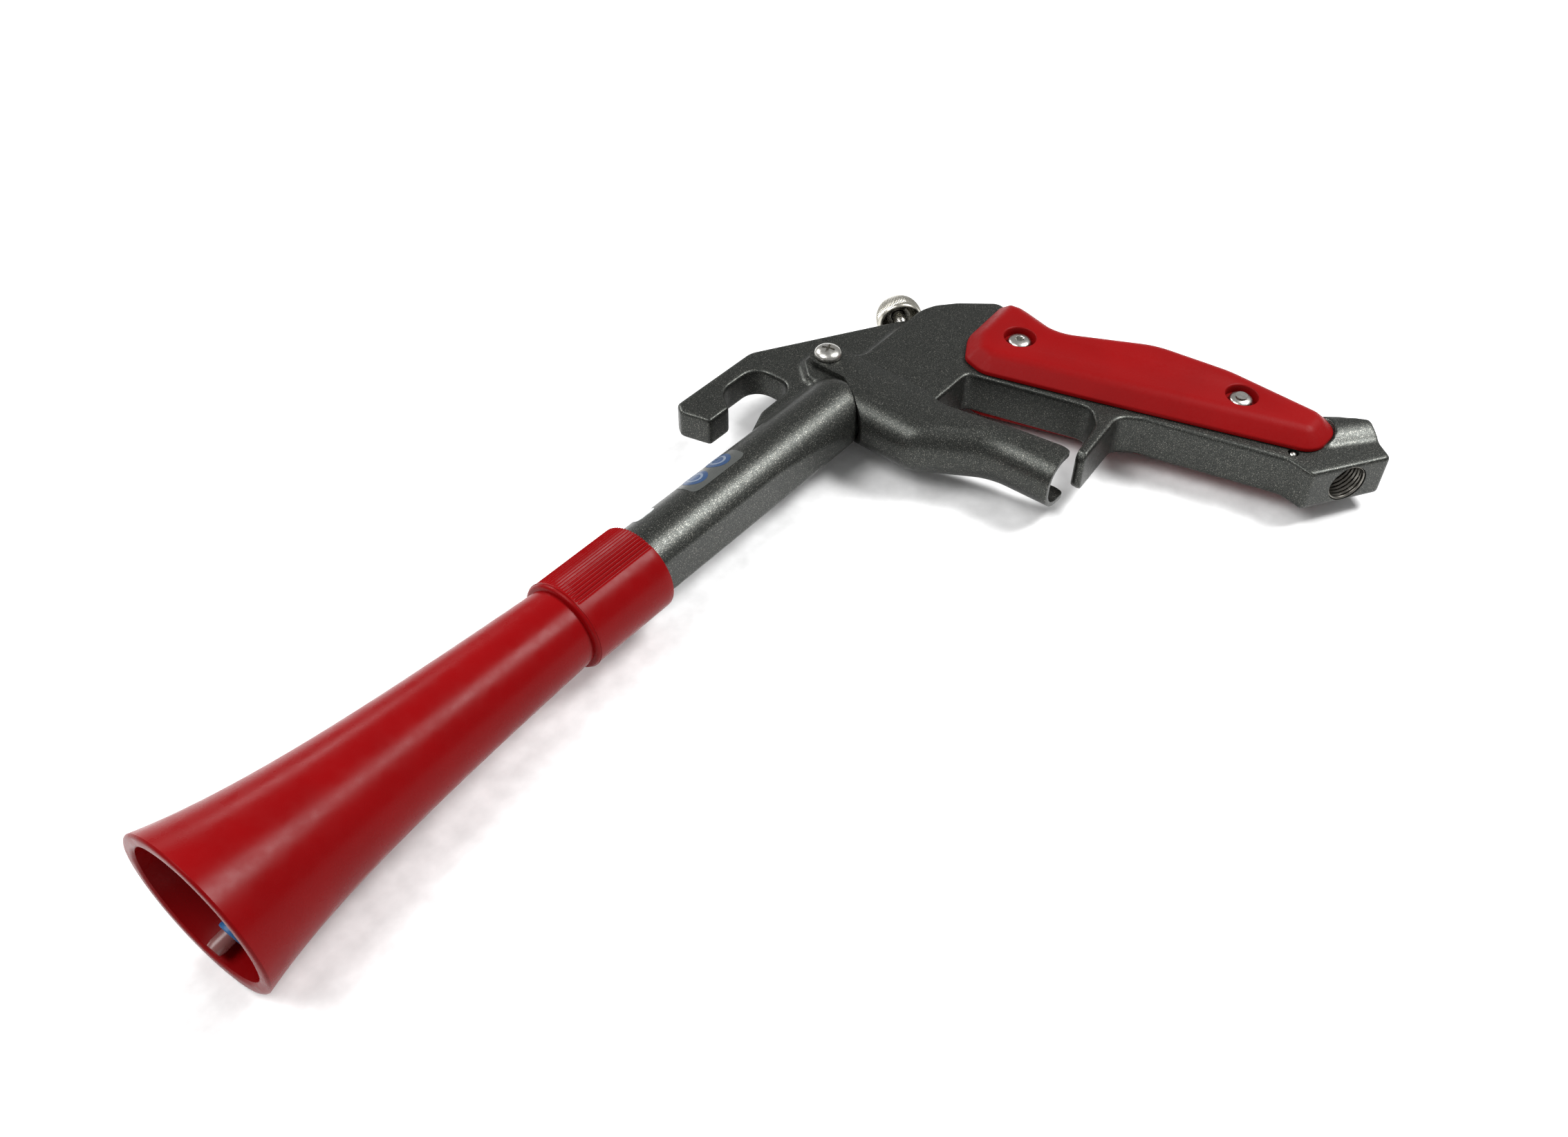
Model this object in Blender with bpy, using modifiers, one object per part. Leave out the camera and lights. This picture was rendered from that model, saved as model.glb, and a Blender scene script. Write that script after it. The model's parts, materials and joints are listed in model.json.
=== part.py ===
"""Compressed-air cleaning gun with a flared cone, lying on its side.

The gun is laid out in its own frame: the barrel's axis is X with the mouth of the cone at x = 0 and
the handle at high x, +Y is the hook's side, and the casting's parting plane is z = 0. An empty
carries every piece from that frame to the floor, with the origin under the middle of the gun.
"""

import math

import bmesh
import bpy
from mathutils import Matrix, Vector

MM = 0.001

# Driving dimensions, in millimetres
REST_SLOPE = (0.03436, 0.00865)  # of the floor in the gun's frame, along X and Y
FRAME_ORIGIN = (-162.476, 56.771, 23.009)  # centre of the mouth, over the middle of the gun's box
GAP = 0.3                      # between pieces that touch
FINE_GAP = 0.15                # between a pin and its bush
MOUTH_R, MOUTH_INNER_R = 23.0, 19.35
CONE_LENGTH = 110.0            # mouth to the collar's front edge
COLLAR_R, COLLAR_END = 13.2, 139.5
BARREL_R, BARREL_NOSE, BARREL_END = 10.8, 117.0, 234.6
BARREL_FLAT = 9.15             # distance of the flat under the barrel from its axis
BORE_R = 5.0                   # air bore of the barrel
BODY_HALF = 7.3                # half thickness of the body, the handle and the spur
HOOK_HALF = 5.0                # half thickness of the hook plate
GRIP_TOP = 13.0                # outer face of a grip plate, from the parting plane
SCREW_SEAT = 3.0               # depth of a grip screw's counterbore
SHEET = 1.5                    # thickness of the lever's sheet
LEVER_HALF = 9.0               # half width of the lever
PIVOT = (241.3, 12.6)          # the lever's pivot
PIVOT_R = 2.5
STEM_Y = -18.0                 # height of the valve's axis
VALVE_R = 5.0
STEM_R = 1.5
OUTLET_X = 245.8               # air leaves the valve here, between the gland and the seat
CHAMBER_END = 266.0            # back wall of the valve's chamber
SPRING_LENGTH = 6.0            # of the valve's spring as pressed; it leaves the stem 4 mm to travel
SCREW_SPOTS = ((285.6, -31.4), (306.0, -101.4))
SLEEVE_R, SCREW_R, SCREW_HEAD_R, COUNTERBORE_R = 3.2, 1.85, 3.8, 5.2
KNOB_CENTRE = (283.6, 14.2)
KNOB_LEAN = math.radians(42.0)  # the regulating screw leans back from +Y
KNOB_R = 7.85
KNOB_RIM = -3.2                # height of the knob's rim on the screw's axis, from the knob's centre
NEEDLE_R = 2.2
INLET_R = 6.58                 # wall of the bore for the inlet's thread insert
INLET_THREAD_R = 5.75          # inside radius of the inlet's thread
INLET_FROM, INLET_TO = (291.7, -133.7), (315.3, -149.4)   # ends of the handle's end face
TUBE_R, TUBE_BORE = 2.2, 1.25
RING_R, RING_FROM, RING_LENGTH = 3.4, 4.8, 3.6
ROUND = 40                     # sides of a round piece

COLOURS = {
    "casting": ((0.09, 0.095, 0.09), 0.45, 0.85),
    "red_horn": ((0.33, 0.008, 0.01), 0.35, 0.0),
    "red_grip": ((0.36, 0.01, 0.012), 0.6, 0.0),
    "nickel": ((0.55, 0.54, 0.5), 0.25, 1.0),
    "steel": ((0.5, 0.5, 0.48), 0.3, 1.0),
    "brass": ((0.6, 0.42, 0.16), 0.35, 1.0),
    "rubber": ((0.02, 0.02, 0.02), 0.8, 0.0),
    "white_plastic": ((0.8, 0.8, 0.77), 0.5, 0.0),
    "clear_tube": ((0.8, 0.7, 0.7), 0.2, 0.0),
    "blue": ((0.01, 0.14, 0.4), 0.45, 0.0),
}


# ---------------------------------------------------------------- scene, materials and placing

def clear_scene():
    for obj in list(bpy.data.objects):
        bpy.data.objects.remove(obj, do_unlink=True)


def new_collection(name):
    collection = bpy.data.collections.new(name)
    bpy.context.scene.collection.children.link(collection)
    return collection


def material(name):
    """The named colour as a Principled material, made once."""
    if name in bpy.data.materials:
        return bpy.data.materials[name]
    colour, roughness, metallic = COLOURS[name]
    made = bpy.data.materials.new(name)
    made.use_nodes = True
    shader = made.node_tree.nodes["Principled BSDF"]
    shader.inputs["Base Color"].default_value = (*colour, 1.0)
    shader.inputs["Roughness"].default_value = roughness
    shader.inputs["Metallic"].default_value = metallic
    return made


def at(x, y, z=0.0):
    return Vector((x, y, z)) * MM


def along(direction):
    """The rotation that turns +Z to a direction."""
    return Vector(direction).to_track_quat("Z", "Y").to_euler()


def add_object(name, mesh, finish, location=(0, 0, 0), rotation=(0, 0, 0)):
    """A mesh as a piece of the gun, or as a cutter if it has no finish."""
    obj = bpy.data.objects.new(name, mesh)
    obj.location = location
    obj.rotation_euler = rotation
    if finish is None:
        CUTTERS.objects.link(obj)
        obj.hide_render = True
        obj.display_type = "WIRE"
    else:
        PIECES.objects.link(obj)
        mesh.materials.append(material(finish))
        mesh.shade_smooth()
        mesh.set_sharp_from_angle(angle=math.radians(35))
    obj.parent = FRAME
    return obj


# ---------------------------------------------------------------- shapes

def arc_corner(before, corner, after, radius, step=math.radians(15)):
    """The points of an arc that rounds a corner between its two neighbours."""
    here = Vector(corner)
    back = (Vector(before) - here).normalized()
    ahead = (Vector(after) - here).normalized()
    angle = back.angle(ahead)
    if radius <= 0 or angle > math.radians(178):
        return [tuple(here)]
    room = 0.49 * min((Vector(before) - here).length, (Vector(after) - here).length)
    reach = min(radius / math.tan(angle / 2), room)
    radius = reach * math.tan(angle / 2)
    centre = here + (back + ahead).normalized() * math.hypot(radius, reach)
    first = here + back * reach - centre
    turn = math.pi - angle
    if first.cross(here + ahead * reach - centre) < 0:
        turn = -turn
    count = max(1, math.ceil(abs(turn) / step))
    points = []
    for i in range(count + 1):
        swing = Matrix.Rotation(turn * i / count, 2)
        points.append(tuple(centre + swing @ first))
    return points


def outline(corners):
    """A closed outline: each corner is (x, y) or (x, y, radius)."""
    points = []
    for i, corner in enumerate(corners):
        before, after = corners[i - 1][:2], corners[(i + 1) % len(corners)][:2]
        radius = corner[2] if len(corner) > 2 else 0
        points += arc_corner(before, corner[:2], after, radius)
    return points


def plate_mesh(name, points, low, high):
    """A flat outline in XY drawn out from z = low to z = high."""
    bm = bmesh.new()
    face = bm.faces.new([bm.verts.new(at(x, y, low)) for x, y in points])
    face.normal_update()
    if face.normal.z > 0:
        face.normal_flip()
    drawn = bmesh.ops.extrude_face_region(bm, geom=[face])
    moved = [item for item in drawn["geom"] if isinstance(item, bmesh.types.BMVert)]
    bmesh.ops.translate(bm, verts=moved, vec=(0, 0, (high - low) * MM))
    bmesh.ops.recalc_face_normals(bm, faces=bm.faces)
    mesh = bpy.data.meshes.new(name)
    bm.to_mesh(mesh)
    bm.free()
    return mesh


def plate(name, finish, points, low, high, rounding=0.0, segments=2):
    """A plate whose two rims are rounded."""
    obj = add_object(name, plate_mesh(name, points, low, high), finish)
    if rounding:
        round_edges(obj, rounding, segments)
    return obj


def round_edges(obj, width, segments=2, angle=50):
    bevel = obj.modifiers.new("rounded edges", "BEVEL")
    bevel.width = width * MM
    bevel.segments = segments
    bevel.limit_method = "ANGLE"
    bevel.angle_limit = math.radians(angle)
    bevel.use_clamp_overlap = True


def turned(name, finish, profile, start, direction=(1, 0, 0), sides=ROUND):
    """A turned piece. Its profile is (distance along the axis, radius), listed either way round."""
    ring = [(radius, height) for height, radius in profile]
    area = sum(a[0] * b[1] - b[0] * a[1] for a, b in zip(ring, ring[1:] + ring[:1]))
    if area > 0:
        ring.reverse()
    closed = all(radius > 0 for radius, _ in ring)
    if not closed:
        while not (ring[0][0] == 0 and ring[-1][0] == 0):
            ring = ring[1:] + ring[:1]
    bm = bmesh.new()
    verts = [bm.verts.new((radius * MM, 0, height * MM)) for radius, height in ring]
    for first, second in zip(verts, verts[1:]):
        bm.edges.new((first, second))
    if closed:
        bm.edges.new((verts[-1], verts[0]))
    mesh = bpy.data.meshes.new(name)
    bm.to_mesh(mesh)
    bm.free()
    obj = add_object(name, mesh, finish, at(*start), along(direction))
    screw = obj.modifiers.new("turn", "SCREW")
    screw.steps = screw.render_steps = sides
    screw.use_merge_vertices = True
    screw.merge_threshold = 0.00001
    screw.use_smooth_shade = True
    return obj


def rod(name, finish, start, end, radius, sides=ROUND):
    """A plain round bar between two points."""
    span = Vector(end) - Vector(start)
    profile = [(0, 0), (0, radius), (span.length, radius), (span.length, 0)]
    return turned(name, finish, profile, start, span, sides)


def tube(name, finish, start, end, outer, inner, sides=ROUND):
    """A plain pipe between two points."""
    span = Vector(end) - Vector(start)
    profile = [(0, inner), (0, outer), (span.length, outer), (span.length, inner)]
    return turned(name, finish, profile, start, span, sides)


def bore(name, start, direction, steps, sides):
    """A cutter for a stepped hole: each step is (where it ends, its radius)."""
    profile = [(0, 0)]
    begin = 0
    for end, radius in steps:
        profile += [(begin, radius), (end, radius)]
        begin = end
    return turned(name, None, profile + [(begin, 0)], start, direction, sides)


def ring(name, finish, centre, direction, radius, thickness, sides=ROUND):
    """An O-ring."""
    steps = 10
    profile = []
    for i in range(steps):
        turn = math.tau * i / steps
        profile.append((thickness * math.sin(turn), radius + thickness * math.cos(turn)))
    return turned(name, finish, profile, centre, direction, sides)


def boolean(obj, other, operation):
    made = obj.modifiers.new(operation.lower() + " " + other.name, "BOOLEAN")
    made.operation = operation
    made.object = other
    made.solver = "EXACT"


def cut(obj, *cutters):
    for cutter in cutters:
        boolean(obj, cutter, "DIFFERENCE")


def join(obj, *others):
    for other in others:
        boolean(obj, other, "UNION")


def prism(name, sides, centre, direction, radius, length):
    """A cutter with a regular outline, for a hexagon socket or nut."""
    bm = bmesh.new()
    bmesh.ops.create_cone(bm, cap_ends=True, segments=sides, radius1=radius * MM,
                          radius2=radius * MM, depth=length * MM)
    mesh = bpy.data.meshes.new(name)
    bm.to_mesh(mesh)
    bm.free()
    return add_object(name, mesh, None, at(*centre), along(direction))


# ---------------------------------------------------------------- the casting

HOOK = [
    (195.7, 35.8, 2.5), (230.7, 35.8, 7.0), (269.7, 13.8), (284.5, 4.9), (284.5, -4.0),
    (196.2, -4.0), (196.2, 4.5), (196.6, 9.0, 1.0), (202.2, 11.0, 8.0), (209.8, 14.0, 4.0),
    (226.2, 14.4, 5.5), (225.8, 29.8, 6.0), (209.7, 29.8, 8.0), (204.7, 22.6, 1.5), (195.9, 22.6, 1.2),
    (193.4, 32.5, 2.0),
]
BODY = [
    (230.3, 0.0), (230.3, 12.5, 2.2), (236.0, 18.6, 3.0), (247.0, 18.6, 3.0), (250.0, 5.9, 4.0),
    (284.0, 6.3, 10.0), (289.5, 4.3, 10.0), (296.0, -0.9, 10.0), (304.8, -11.4, 4.0), (302.6, -24.0, 6.0),
    (299.8, -38.0, 12.0), (314.6, -68.0, 30.0), (318.4, -92.0, 40.0), (318.8, -122.0, 8.0),
    (322.8, -131.0, 6.0), (326.0, -137.3, 1.8), (316.0, -149.8, 1.6), (291.7, -133.7, 1.6),
    (293.6, -125.4, 5.0), (281.4, -80.4, 5.0), (277.2, -74.0, 5.0), (253.0, -75.1, 1.6),
    (253.4, -72.6, 1.5), (270.0, -69.9, 6.0), (276.0, -64.6, 5.0), (265.0, -25.5, 3.0),
    (236.2, -25.5, 2.2), (236.2, 0.0),
]


def toward_inlet():
    """Middle of the handle's end face, and the direction out of it."""
    start, end = Vector(INLET_FROM), Vector(INLET_TO)
    edge = (end - start).normalized()
    return start.lerp(end, 0.53).to_3d(), Vector((edge.y, -edge.x, 0))


def knob_axis():
    return Vector((math.sin(KNOB_LEAN), math.cos(KNOB_LEAN), 0))


def knob_point(distance):
    """A point on the regulating screw's axis, measured from the knob's centre."""
    return tuple(Vector((*KNOB_CENTRE, 0)) + knob_axis() * distance)


def barrel():
    shoulder = []
    for i in range(6):
        turn = math.radians(18 * i)
        shoulder.append((BARREL_END - 6 + 6 * math.sin(turn), BARREL_R - 3.5 + 3.5 * math.cos(turn)))
    profile = [(BARREL_NOSE, 0), (BARREL_NOSE, 9.4), (119.0, 9.4), (119.0, 8.2), (121.4, 8.2),
               (121.4, 9.4), (124.0, 9.4), (125.0, BARREL_R)] + shoulder + [(238.0, 6.5), (238.0, 0)]
    return turned("barrel", None, profile, (0, 0, 0), (1, 0, 0), 48)


def bead(side):
    """The half-round bead beside the grip's lower end."""
    return rod(f"bead_{side:+d}", None, (313.4, -133.0, side * 5.3), (321.9, -141.9, side * 5.3), 4.5, 24)


def ear_clearance(side):
    """Room on the barrel's end for one flange of the lever, deeper where the flange curves in."""
    edge = [(225.0, -40), (225.0, -12.8), (235.2, 2.0)]
    flange = plate(f"flange_clearance_{side:+d}", None, edge + [(235.2, 30), (260, 30), (260, -40)],
                   *sorted((side * 7.4, side * 30)))
    curve = plate(f"curve_clearance_{side:+d}", None, edge + [(236.1, -0.2), (236.1, -40)],
                  *sorted((side * 2.0, side * 30)))
    return flange, curve


def body_casting():
    casting = plate("body_casting", "casting", outline(BODY), -BODY_HALF, BODY_HALF, 1.1)
    hook = plate("hook_plate", None, outline(HOOK), -HOOK_HALF, HOOK_HALF, 0.9)
    join(casting, hook, barrel(), bead(1), bead(-1))
    flat = plate("barrel_flat", None,
                 [(110, -BARREL_FLAT), (190, -BARREL_FLAT), (225, -11.1), (228.6, -7.6), (228.6, -20),
                  (110, -20)], -12, 12)
    inlet, outward = toward_inlet()
    cut(
        casting, flat,
        bore("barrel_bore", (96, 0, 0), (1, 0, 0), [(35, 6.0), (156, BORE_R)], 30),
        bore("outlet_bore", (OUTLET_X, 3, 0), (0, -1, 0), [(3 - STEM_Y, 1.6)], 14),
        bore("valve_bore", (230, STEM_Y, 0), (1, 0, 0), [(CHAMBER_END - 230, VALVE_R)], 30),
        bore("handle_passage", (292.4, -14.6, 0), (5, -35.4, 0), [(36, 3.0)], 18),
        bore("lower_passage", (297.2, -44, 0), (-0.4, -66, 0), [(66, 2.5)], 14),
        bore("inlet_passage", (295.4, -102, 0), (16.4, -26.6, 0), [(31, 3.1)], 22),
        bore("inlet_bore", tuple(inlet + outward * 5), tuple(-outward), [(21, INLET_R)], 34),
        bore("cross_passage", (292.9, -17.8, 0), tuple(Vector(knob_point(-24.4)) - Vector((292.9, -17.8, 0))),
             [(29.2, 1.75)], 14),
        bore("knob_bore", knob_point(4), tuple(-knob_axis()),
             [(20.5, 2.45), (22.2, 3.8), (25.0, 2.45), (31.6, 1.9), (43.0, 1.2)], 22),
        bore("pivot_bore", (*PIVOT, -30), (0, 0, 1), [(60, PIVOT_R + 1.15)], 30),
        *ear_clearance(1), *ear_clearance(-1),
    )
    for number, (x, y) in enumerate(SCREW_SPOTS, 1):
        cut(casting, bore(f"sleeve_bore_{number}", (x, y, -30), (0, 0, 1), [(60, SLEEVE_R + FINE_GAP)], 24))
    cut(casting, bore("dowel_bore", (*DOWEL, 4), (0, 0, 1), [(20, 1.75)], 16))
    return casting


DOWEL = (297.6, -124.6)


# ---------------------------------------------------------------- the cone and what spins in it

def flare(x):
    """Outside radius of the horn."""
    return 11.57 + (MOUTH_R - 15.91) * math.exp(-x / 28) + 0.0413 * (CONE_LENGTH - x)


def wall(x):
    """Thickness of the horn, which is greatest at its rim."""
    return 2.5 + (MOUTH_R - MOUTH_INNER_R - 2.5) * math.exp(-x / 6)


def cone_profile():
    """The horn: a flare that dies out towards the collar, and a stepped bore for the barrel."""
    stations = [0.7, 3, 6, 10, 15, 21, 28, 37, 48, 62, 80, 98]
    outer = [(x, flare(x)) for x in stations]
    inner = [(x, flare(x) - wall(x)) for x in reversed(stations)]
    collar = [(CONE_LENGTH, flare(CONE_LENGTH)), (CONE_LENGTH + 0.5, 12.5), (CONE_LENGTH + 3.2, COLLAR_R),
              (COLLAR_END - 0.5, COLLAR_R), (COLLAR_END, COLLAR_R - 0.5)]
    inside = [(COLLAR_END, BARREL_R + GAP), (124.6, BARREL_R + GAP), (123.6, 9.4 + GAP),
              (BARREL_NOSE - GAP, 9.4 + GAP), (BARREL_NOSE - GAP, 8.6)]
    return [(0, MOUTH_R - 0.9), (0.2, MOUTH_R - 0.3)] + outer + collar + inside + inner + [(0, MOUTH_INNER_R + 1.0)]


def cone():
    turned("cone_horn", "red_horn", cone_profile(), (0, 0, 0), (1, 0, 0), 56)
    ring("cone_seal", "rubber", (120.2, 0, 0), (1, 0, 0), 9.0, 0.62, 36)


def tube_route(x):
    """Middle of the whip tube: it leaves the hub on the axis and lies down on the cone's wall."""
    share = max(0.0, (104 - x) / 96.6)
    drop = 14.3 * (1.58 * share ** 2 - 0.58 * share ** 3)
    return Vector((x, 0.07 * drop, -drop))


def bent_pipe(name, finish, low, high, outer, inner, sides, count):
    """A pipe that follows the whip tube's route between two places."""
    route = [tube_route(low + (high - low) * i / count) for i in range(count + 1)]

    def skin(suffix, points, radius, target):
        curve = bpy.data.curves.new(name + suffix, "CURVE")
        curve.dimensions = "3D"
        curve.bevel_depth = radius * MM
        curve.bevel_resolution = max(1, sides // 4 - 1)
        curve.use_fill_caps = True
        spline = curve.splines.new("POLY")
        spline.points.add(len(points) - 1)
        for point, place in zip(spline.points, points):
            point.co = (*(place * MM), 1)
        raw = bpy.data.objects.new(name + suffix + "_curve", curve)
        bpy.context.scene.collection.objects.link(raw)
        graph = bpy.context.evaluated_depsgraph_get()
        mesh = bpy.data.meshes.new_from_object(raw.evaluated_get(graph))
        bpy.data.objects.remove(raw)
        bm = bmesh.new()
        bm.from_mesh(mesh)
        bmesh.ops.remove_doubles(bm, verts=bm.verts, dist=0.00001)
        bmesh.ops.recalc_face_normals(bm, faces=bm.faces)
        bm.to_mesh(mesh)
        bm.free()
        return add_object(name + suffix, mesh, target)

    body = skin("", route, outer, finish)
    ends = [route[0] + (route[0] - route[1]).normalized() * 2] + route[1:-1]
    ends.append(route[-1] + (route[-1] - route[-2]).normalized() * 2)
    cut(body, skin("_hollow", ends, inner, None))
    return body


def whip():
    """The loose tube in the cone, its weight ring, and the swivel that carries it."""
    bent_pipe("whip_tube", "clear_tube", 0.8, 111.0, TUBE_R, TUBE_BORE, 12, 30)
    front, back = tube_route(RING_FROM), tube_route(RING_FROM + RING_LENGTH)
    tube("whip_ring", "blue", tuple(front), tuple(back), RING_R, TUBE_R + 0.25, 28)
    hub = [(104.0, TUBE_R + 0.25), (104.0, 3.6), (104.8, 4.2), (112.4, 4.2), (112.4, 2.6),
           (131.0, 2.6), (131.0, 4.2), (132.6, 4.2), (132.6, 1.2), (112.0, 1.2),
           (112.0, TUBE_R + 0.25)]
    turned("swivel_hub", "brass", hub, (0, 0, 0), (1, 0, 0), 28)
    bush = [(112.8, 2.75), (112.8, 5.0), (114.0, 5.0), (114.0, 4.0), (130.6, 4.0), (130.6, 2.75)]
    turned("swivel_bush", "white_plastic", bush, (0, 0, 0), (1, 0, 0), 28)
    carrier = [(112.9, 5.3), (112.9, 7.2), (113.6, 7.8), (116.7, 7.8), (116.7, 5.7), (130.6, 5.7),
               (130.6, 4.3), (114.3, 4.3), (114.3, 5.3)]
    turned("swivel_carrier", "brass", carrier, (0, 0, 0), (1, 0, 0), 32)


# ---------------------------------------------------------------- the lever and its pivot

LEVER_SIDE = [
    (235.6, 1.8), (235.6, 18.2, 5.5), (247.0, 18.2, 5.5), (247.0, -21.0, 6.0), (244.4, -29.0, 8.0),
    (249.2, -52.0, 60.0), (251.8, -69.0, 10.0), (251.0, -71.8, 1.4), (236.0, -71.8),
    (221.0, -71.8), (221.0, -13.0), (225.4, -13.0, 2.0),
]
LEVER_FRONT = [(225.5, 30.0), (225.5, -29.5, 9.0), (238.6, -51.0, 22.0), (239.8, -90.0)]


def front_at(y):
    """Front of the lever's channel, from its side outline."""
    points = []
    for i, corner in enumerate(LEVER_FRONT):
        if len(corner) > 2:
            points += arc_corner(LEVER_FRONT[i - 1][:2], corner[:2], LEVER_FRONT[i + 1][:2], corner[2],
                                 math.radians(6))
        else:
            points.append(corner)
    for (x0, y0), (x1, y1) in zip(points, points[1:]):
        if y1 <= y <= y0:
            return x0 + (x1 - x0) * (y0 - y) / (y0 - y1)
    return points[-1][0]


def channel_bar(name, finish, inset):
    """A bar along Y with a half-round front: the outside of the lever's channel, or its inside."""
    half, corner = LEVER_HALF - inset, 8.0 - inset
    section = [(60.0, half)]
    for i in range(7):
        turn = math.radians(90 + 15 * i)
        section.append((corner + corner * math.cos(turn), half - corner + corner * math.sin(turn)))
    section += [(x, -z) for x, z in reversed(section)]
    heights = [24 - 4 * i for i in range(25)]
    bm = bmesh.new()
    loops = []
    for y in heights:
        loops.append([bm.verts.new(at(front_at(y) + inset + x, y, z)) for x, z in section])
    count = len(section)
    for upper, lower in zip(loops, loops[1:]):
        for i in range(count):
            j = (i + 1) % count
            bm.faces.new((upper[i], upper[j], lower[j], lower[i]))
    bm.faces.new(loops[0])
    bm.faces.new(loops[-1])
    bmesh.ops.recalc_face_normals(bm, faces=bm.faces)
    mesh = bpy.data.meshes.new(name)
    bm.to_mesh(mesh)
    bm.free()
    return add_object(name, mesh, finish)


def lever():
    piece = channel_bar("lever", "casting", 0.0)
    side = plate("lever_side", None, outline(LEVER_SIDE), -20, 20)
    boolean(piece, side, "INTERSECT")
    cut(piece, channel_bar("lever_inside", None, SHEET))
    cut(piece, rod("lever_eye", None, (*PIVOT, -30), (*PIVOT, 30), PIVOT_R + GAP, 24))


def pivot():
    top = LEVER_HALF + FINE_GAP
    head = [(0, 0), (0, 4.4), (0.9, 4.3), (1.8, 3.6), (2.5, 2.2), (2.7, 0)]
    screw = turned("pivot_screw", "steel", head, (*PIVOT, top), (0, 0, 1), 32)
    join(screw, rod("pivot_shank", None, (*PIVOT, top + 0.5), (*PIVOT, -top - 4.0), PIVOT_R - 0.1, 24))
    for turn in (20, 110):
        blade = plate(f"cross_slot_{turn}", None, [(-2.2, -0.45), (2.2, -0.45), (2.2, 0.45), (-2.2, 0.45)],
                      top + 1.2, top + 5)
        blade.location = at(*PIVOT)
        blade.rotation_euler = (0, 0, math.radians(turn))
        cut(screw, blade)
    tube("pivot_sleeve", "brass", (*PIVOT, -BODY_HALF), (*PIVOT, BODY_HALF), PIVOT_R + 1.0,
         PIVOT_R + 0.1, 24)
    nut = prism("pivot_nut", 6, (*PIVOT, -top - 1.6), (0, 0, 1), 4.6, 3.2)
    CUTTERS.objects.unlink(nut)
    PIECES.objects.link(nut)
    nut.hide_render = False
    nut.display_type = "TEXTURED"
    nut.data.materials.append(material("steel"))
    cut(nut, rod("nut_thread", None, (*PIVOT, -30), (*PIVOT, 0), PIVOT_R + 0.1, 24))


# ---------------------------------------------------------------- the valve

def spring_mesh(name, start, length, radius, wire, turns):
    """A helical spring along +X."""
    steps = 14 * turns
    curve = bpy.data.curves.new(name, "CURVE")
    curve.dimensions = "3D"
    curve.bevel_depth = wire * MM
    curve.bevel_resolution = 1
    curve.use_fill_caps = True
    spline = curve.splines.new("POLY")
    spline.points.add(steps)
    for i, point in enumerate(spline.points):
        turn = math.tau * turns * i / steps
        point.co = (length * i / steps * MM, radius * math.cos(turn) * MM, radius * math.sin(turn) * MM, 1)
    raw = bpy.data.objects.new(name + "_curve", curve)
    bpy.context.scene.collection.objects.link(raw)
    graph = bpy.context.evaluated_depsgraph_get()
    mesh = bpy.data.meshes.new_from_object(raw.evaluated_get(graph))
    bpy.data.objects.remove(raw)
    bm = bmesh.new()
    bm.from_mesh(mesh)
    bmesh.ops.remove_doubles(bm, verts=bm.verts, dist=0.00001)
    bmesh.ops.recalc_face_normals(bm, faces=bm.faces)
    bm.to_mesh(mesh)
    bm.free()
    return add_object(name, mesh, "steel", at(*start))


def valve():
    def place(x):
        return (x, STEM_Y, 0)

    stem = [(227.4, 0), (227.4, 1.0), (227.9, STEM_R), (254.6, STEM_R), (254.6, 2.2), (256.0, 2.2),
            (256.0, 0)]
    turned("valve_stem", "steel", stem, (0, STEM_Y, 0), (1, 0, 0), 20)
    gland = [(233.4, STEM_R + 0.3), (233.4, 4.6), (234.0, 5.4), (235.9, 5.4), (235.9, VALVE_R - GAP),
             (244.6, VALVE_R - GAP), (244.6, 3.3), (242.4, 3.3), (242.4, STEM_R + 0.3)]
    turned("valve_gland", "brass", gland, (0, STEM_Y, 0), (1, 0, 0), 28)
    ring("stem_seal", "rubber", place(243.5), (1, 0, 0), 2.45, 0.72, 24)
    tube("valve_seat", "brass", place(247.0), place(251.0), VALVE_R - GAP, 2.4, 28)
    tube("valve_poppet", "rubber", place(251.3), place(254.3), 3.8, STEM_R + FINE_GAP, 28)
    spring_mesh("valve_spring", place(255.1), SPRING_LENGTH, 3.3, 0.42, 5)


# ---------------------------------------------------------------- the flow regulator

def regulator():
    socket = NEEDLE_R + GAP
    hollow = [(1.4, socket), (1.4, 3.6), (-0.4, 5.4), (KNOB_RIM, 6.5)]
    head = hollow + knob_arc() + [(KNOB_R, 0), (4.8, 0), (4.8, socket)]
    turned("regulating_knob", "nickel", head, knob_point(0), knob_axis(), 48)
    needle = [(4.5, 0), (4.5, NEEDLE_R), (-19.0, NEEDLE_R), (-19.4, 1.5), (-25.2, 1.5), (-27.0, 0.5),
              (-27.0, 0)]
    turned("needle_screw", "steel", needle, knob_point(0), knob_axis(), 24)
    ring("needle_seal", "rubber", knob_point(-17.35), knob_axis(), 3.05, 0.62, 24)


def knob_arc():
    """The ball of the knob, from its rim nearly to its crown."""
    rim = math.asin(KNOB_RIM / KNOB_R)
    points = []
    for i in range(11):
        turn = rim + (math.radians(82) - rim) * i / 10
        points.append((KNOB_R * math.sin(turn), KNOB_R * math.cos(turn)))
    return points


# ---------------------------------------------------------------- grips, screws and the inlet

GRIP = [
    (269.4, -21.2, 5.0), (279.0, -15.8, 14.0), (303.3, -14.6, 4.5), (304.6, -22.5, 7.0), (300.6, -38.0, 12.0),
    (316.2, -66.0, 30.0), (320.0, -92.0, 40.0), (319.0, -124.5, 7.0), (314.4, -131.4, 8.0),
    (301.0, -130.6, 8.0), (279.0, -66.0, 50.0), (267.0, -29.0, 8.0),
]


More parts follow.
